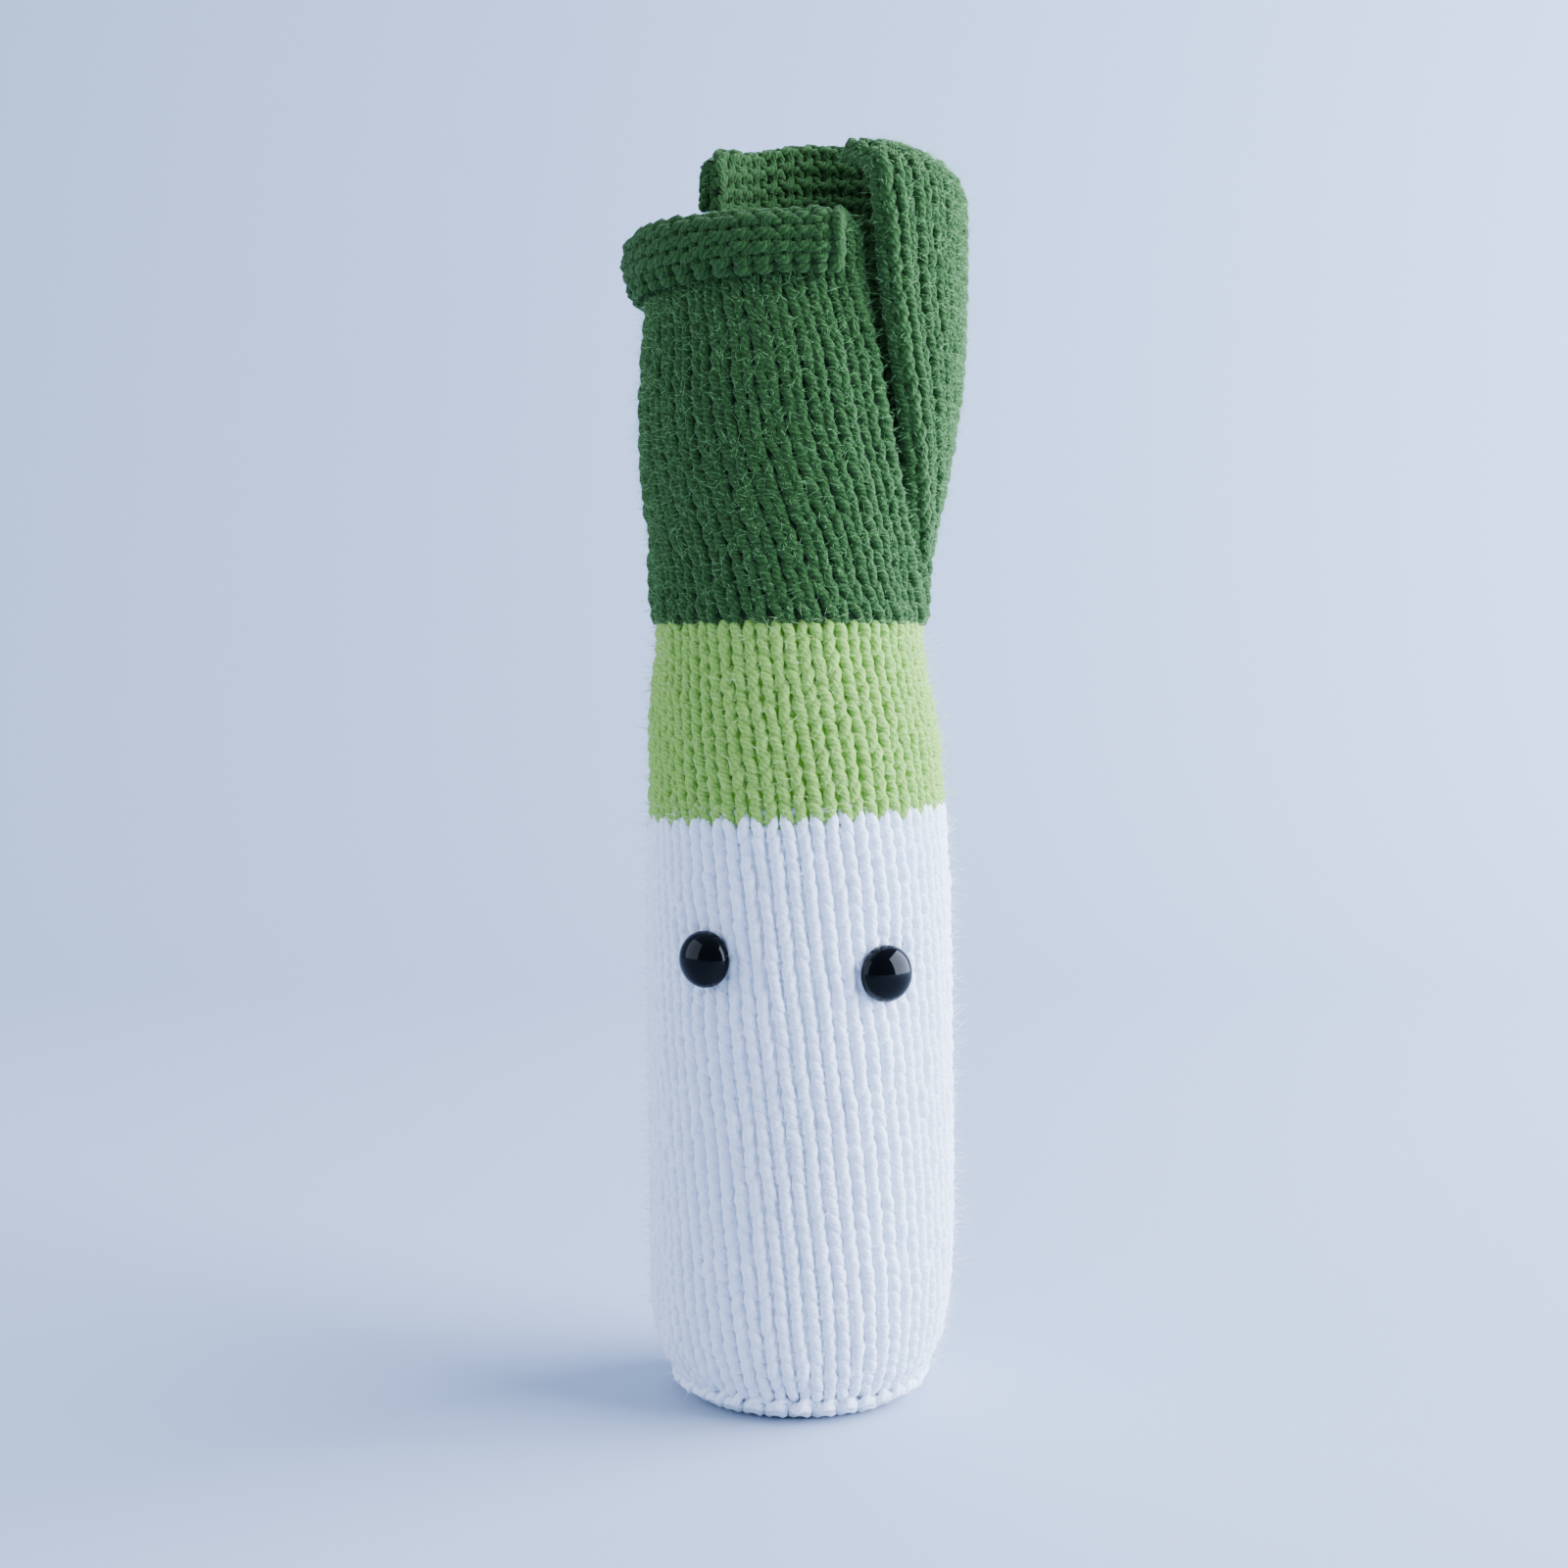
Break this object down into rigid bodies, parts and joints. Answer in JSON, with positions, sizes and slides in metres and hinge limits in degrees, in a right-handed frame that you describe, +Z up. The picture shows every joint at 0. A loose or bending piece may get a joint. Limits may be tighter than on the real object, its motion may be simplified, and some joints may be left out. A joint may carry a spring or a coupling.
{
  "type": "knitted toy leek",
  "caption": "Hand-knitted toy leek standing on a round flat base: white shank with domed eyes, pale green band and curling dark green leaves.",
  "frame": {"origin": "on the floor, under the centre of the flat round base", "axes": "+Z up along the body, -Y towards the front with the eyes, +X to the viewer's right"},
  "size_m": [0.057, 0.0519, 0.2088],
  "materials": {
    "white_yarn": "knitted white acrylic yarn",
    "lime_yarn": "knitted pale green acrylic yarn",
    "green_yarn": "knitted green acrylic yarn",
    "black_plastic": "glossy moulded black",
    "washer_plastic": "moulded off-white",
    "polyester_stuffing": "loose polyester fibre"
  },
  "bodies": {
    "root": {"sleeve_white": "white_yarn", "sleeve_lime": "lime_yarn", "leaf_front": "green_yarn", "leaf_back": "green_yarn", "base_disc": "white_yarn", "inner_cap": "green_yarn", "stuffing": "polyester_stuffing", "eye_left": "black_plastic", "eye_right": "black_plastic", "washer_left": "washer_plastic", "washer_right": "washer_plastic"}
  },
  "joints": []
}
